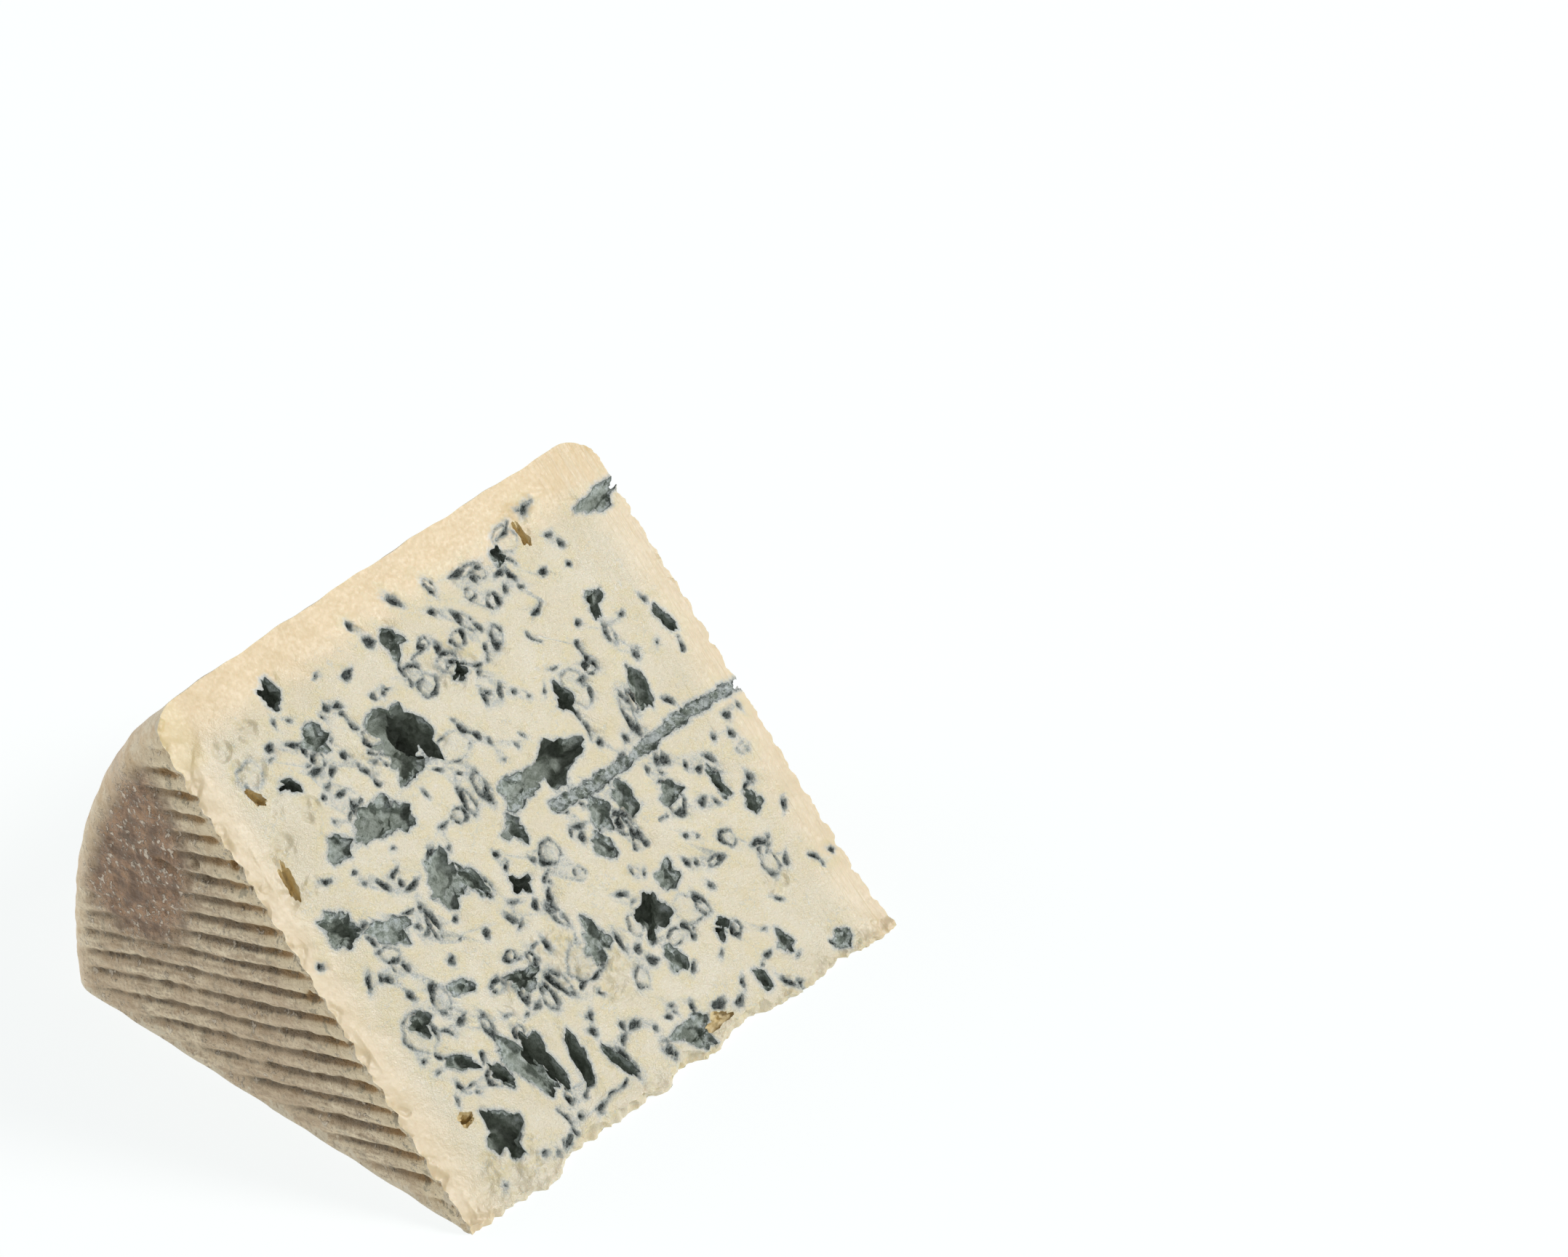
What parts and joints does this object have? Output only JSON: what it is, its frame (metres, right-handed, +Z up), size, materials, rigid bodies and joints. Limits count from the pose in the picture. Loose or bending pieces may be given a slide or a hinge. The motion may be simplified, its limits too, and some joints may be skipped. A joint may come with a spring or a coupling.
{
  "type": "blue cheese wedge",
  "caption": "Wedge of blue cheese cut from a drum-shaped wheel, lying on one cut face, with grooved flat faces and mould-lined openings.",
  "frame": {"origin": "on the table, under the middle of the wedge's box", "axes": "+Z up; the wheel's axis runs along X; +Y from the worn tip towards the rim"},
  "size_m": [0.099, 0.0986, 0.0707],
  "materials": {
    "cheese": "satin"
  },
  "bodies": {
    "root": {"cheese_wedge": "cheese"}
  },
  "joints": []
}
